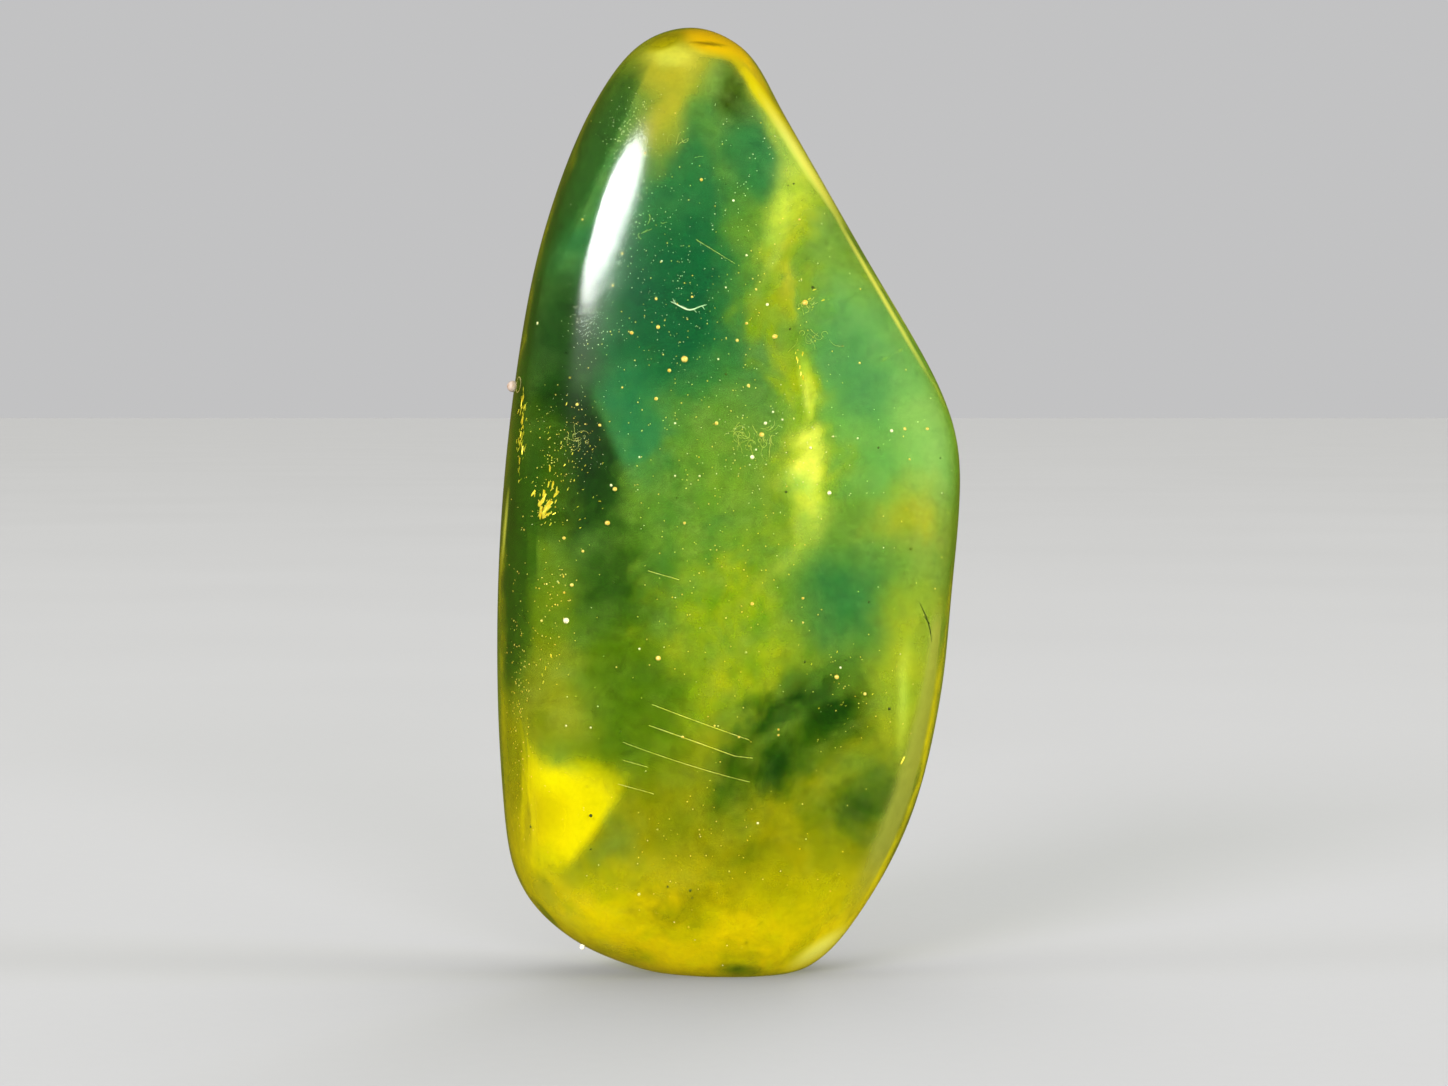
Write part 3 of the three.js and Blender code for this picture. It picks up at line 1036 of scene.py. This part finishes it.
def tornFoil():
    # a thin chip, as long as 2 and a quarter as wide, with uneven edges
    deselectAll()
    dice = random.Random(4)
    bpy.ops.mesh.primitive_cylinder_add(
        vertices=foil["edges"],
        radius=1,
        depth=foil["thick"],
        rotation=(math.radians(90), 0, 0),
    )
    chip = bpy.context.object
    bpy.ops.object.transform_apply(location=False, rotation=True, scale=False)
    for vertex in chip.data.vertices:
        vertex.co.x *= foil["wide"] * dice.uniform(*foil["tornWide"])
        vertex.co.z *= dice.uniform(*foil["tornLong"])
    return chip


def addSpangles(name, heaps, stuff):
    dice = random.Random(12)
    placings = []
    for (across, high), (wide, tall), count, lengths, lean in heaps:
        for bit in range(count):
            there, up = dice.gauss(across, wide), dice.gauss(high, tall)
            place = underSkin(there, up, dice.uniform(*foil["depth"]), False)
            if place:
                length = dice.uniform(*lengths) * mm / 2
                pitch = dice.uniform(-foil["pitch"], foil["pitch"])
                roll = math.radians(dice.gauss(lean, foil["leanSpread"]))
                turn = Euler((pitch, roll, dice.uniform(-foil["twist"], foil["twist"])))
                width = length * dice.uniform(*foil["stretch"])
                placings.append((place, (width, length, length), turn))
    scatter(name, tornFoil(), placings, stuff)


addSpangles("gold_spangles", spangles, crumbMaterial("goldFoil", "foil"))
print("spangles done")


def addStrands(name, strands, stuff):
    # thin round strands, each a row of places with how thick it is there in mm
    deselectAll()
    curve = bpy.data.curves.new(name, "CURVE")
    curve.dimensions = "3D"
    curve.bevel_depth = 1
    curve.bevel_resolution = 1
    curve.resolution_u = 3
    curve.use_fill_caps = True
    for strand in strands:
        line = curve.splines.new("NURBS")
        line.points.add(len(strand) - 1)
        line.use_endpoint_u = True
        line.order_u = min(4, len(strand))
        for point, (place, thick) in zip(line.points, strand):
            point.co = (*place, 1)
            point.radius = thick * mm
    piece = bpy.data.objects.new(name, curve)
    bpy.context.collection.objects.link(piece)
    piece.select_set(True)
    bpy.context.view_layer.objects.active = piece
    bpy.ops.object.convert(target="MESH")
    startEditing()
    bpy.ops.mesh.remove_doubles(threshold=0.0001 * mm)
    bpy.ops.mesh.normals_make_consistent(inside=False)
    stopEditing()
    bpy.ops.object.shade_smooth()
    finishCrumbs(piece, name, stuff)


def inPlace(strands):
    return [[(seenAt(right, up, depth), thick) for right, up, depth, thick in strand] for strand in strands]


# straight fine lines that slope down to the right, like scratches sealed in the resin: how far right and up
# each point is seen, how deep it lies, and how thick the line is there, in mm
fineLines = [
    [
        (-4.04, 14.24, 0.45, 0.00825), (-2.39, 13.6, 0.45, 0.0105), (-1.7, 13.34, 0.4, 0.01425),
        (1.17, 12.33, 0.4, 0.0105),
    ],
    [(-4.2, 13.12, 0.42, 0.009), (-2.39, 12.49, 0.38, 0.01575), (0.37, 11.48, 0.36, 0.0135)],
    [(0.37, 11.48, 0.36, 0.009), (1.33, 11.37, 0.4, 0.006)],
    [
        (-5.58, 12.22, 0.5, 0.00675), (-3.4, 11.37, 0.46, 0.009), (-0.48, 10.47, 0.42, 0.0105),
        (1.17, 10.1, 0.42, 0.00675),
    ],
    [(-5.58, 11.26, 0.5, 0.0075), (-4.25, 10.89, 0.5, 0.00675)],
    [(-5.84, 9.99, 0.5, 0.00825), (-3.93, 9.46, 0.5, 0.0075)],
    [(-1.7, 38.95, 0.5, 0.00675), (0.37, 37.67, 0.5, 0.006)],
    [(-4.25, 21.36, 0.45, 0.009), (-2.6, 20.88, 0.45, 0.009)],
]
addStrands("fine_lines", inPlace(fineLines), crumbMaterial("fineLine", "thread"))

# a torn insect's leg with its hairs
leg = [
    [
        (-3.03, 35.65, 0.45, 0.01), (-2.66, 35.49, 0.42, 0.03), (-2.34, 35.28, 0.4, 0.034),
        (-2.02, 35.18, 0.4, 0.04), (-1.7, 35.28, 0.4, 0.032), (-1.38, 35.44, 0.42, 0.024),
        (-1.12, 35.49, 0.45, 0.008),
    ],
    [(-1.38, 35.44, 0.42, 0.018), (-1.22, 35.23, 0.45, 0.006)],
    [(-2.02, 35.18, 0.4, 0.018), (-2.23, 35.33, 0.45, 0.014), (-2.5, 35.44, 0.5, 0.006)],
    [(-1.81, 35.23, 0.4, 0.016), (-1.65, 35.07, 0.42, 0.006)],
    [(-2.76, 35.55, 0.42, 0.014), (-2.92, 35.81, 0.5, 0.006)],
]
addStrands("insect_leg", inPlace(leg), crumbMaterial("legFibre", "fibre"))

# a dark splinter near the right side
splinter = [
    [
        (10.2, 19.66, 0.35, 0.01), (10.52, 19.02, 0.35, 0.045), (10.79, 18.44, 0.35, 0.065),
        (10.84, 17.59, 0.35, 0.012),
    ],
    [(10.41, 18.97, 0.3, 0.01), (10.73, 18.54, 0.3, 0.03)],
]
addStrands("dark_splinter", inPlace(splinter), crumbMaterial("darkWood", "soot"))

# nests of fine hairs: how far right and up each is seen and how deep it lies, how far it spreads, how many
# hairs it has, how long they are, in mm, and how much they curl
hairs = {
    "thick": 0.006,
    "steps": 9,
    "depthSpread": 0.12,
    "flatness": 0.6,
    "lengths": (0.6, 1.2),
    "widths": (0.7, 1.2),
    "climb": 0.2,
    "wobble": 0.25,
    "seed": 77,
    "nests": [
        ((-2.8, 43.9, 0.5), 0.55, 5, 0.8, 0.5),
        ((-4.1, 39.6, 0.5), 0.4, 5, 0.6, 0.5),
        ((-8.1, 28.2, 0.5), 0.5, 14, 0.7, 0.9),
        ((1.4, 28.3, 0.5), 0.45, 14, 1, 0.7),
        ((4.3, 33.8, 0.5), 0.45, 10, 0.9, 0.6),
        ((4.1, 35.5, 0.4), 0.22, 10, 0.5, 0.7),
        ((0.5, 28.7, 0.5), 0.2, 8, 0.8, 0.5),
        ((2.2, 28.7, 0.45), 0.2, 8, 0.8, 0.5),
    ],
}


def addHairs(name, look, stuff):
    dice = random.Random(look["seed"])
    strands = []
    for centre, spread, count, length, curl in look["nests"]:
        for hair in range(count):
            away = (
                dice.gauss(0, spread),
                dice.gauss(0, look["depthSpread"]),
                dice.gauss(0, spread * look["flatness"]),
            )
            here = seenAt(*centre) + Vector(away) * mm
            heading, bending = dice.uniform(0, wholeTurn), dice.uniform(-curl, curl)
            step = length * dice.uniform(*look["lengths"]) / look["steps"] * mm
            strand = []
            for bend in range(look["steps"]):
                strand.append((here.copy(), look["thick"] * dice.uniform(*look["widths"])))
                climb = dice.uniform(-look["climb"], look["climb"])
                here += Vector((math.cos(heading), climb, math.sin(heading))) * step
                heading += bending + dice.uniform(-look["wobble"], look["wobble"])
            strands.append(strand)
    addStrands(name, strands, stuff)


addHairs("golden_hairs", hairs, crumbMaterial("goldenHair", "hair"))
print("strands done")

# the bead on the left edge with a ring beside it, and the crumb on the lower left edge, with sizes in mm
edgeBead = {
    "place": (0.037, 0.5, 0.621),
    "size": 0.3,
    "ringPlace": (0.062, 0.36, 0.622),
    "ring": 0.4,
    "ringThick": 0.035,
    "ringTurn": (80, 0, -50),
}
footCrumb = {
    "place": (0.186, 0.5, 0.026),
    "size": 0.16,
    "uneven": (0.8, 1.2),
    "lumps": 0.3,
    "lumpScale": 1.7,
}


def addEdgeBead(look):
    deselectAll()
    bpy.ops.mesh.primitive_uv_sphere_add(
        segments=32,
        ring_count=16,
        radius=look["size"] * mm,
        location=spot(*look["place"]),
    )
    bead = bpy.context.object
    bpy.ops.object.shade_smooth()
    bpy.ops.mesh.primitive_torus_add(
        major_segments=40,
        minor_segments=8,
        major_radius=look["ring"] * mm,
        minor_radius=look["ringThick"] * mm,
        location=spot(*look["ringPlace"]),
        rotation=[math.radians(turn) for turn in look["ringTurn"]],
    )
    bpy.ops.object.shade_smooth()
    bead.select_set(True)
    bpy.context.view_layer.objects.active = bead
    bpy.ops.object.join()
    applyPlace()
    finishCrumbs(bead, "edge_bead", crumbMaterial("edgeBead", "bead"))


def addFootCrumb(look):
    crumb = roundCrumb(3)
    dice = random.Random(3)
    for vertex in crumb.data.vertices:
        vertex.co *= 1 + look["lumps"] * noise.noise(vertex.co * look["lumpScale"])
    crumb.scale = [look["size"] * mm * dice.uniform(*look["uneven"]) for axis in range(3)]
    crumb.location = spot(*look["place"])
    applyPlace()
    finishCrumbs(crumb, "foot_crumb", crumbMaterial("footCrumb", "pale"))


addEdgeBead(edgeBead)
addFootCrumb(footCrumb)
print("edge crumbs done")
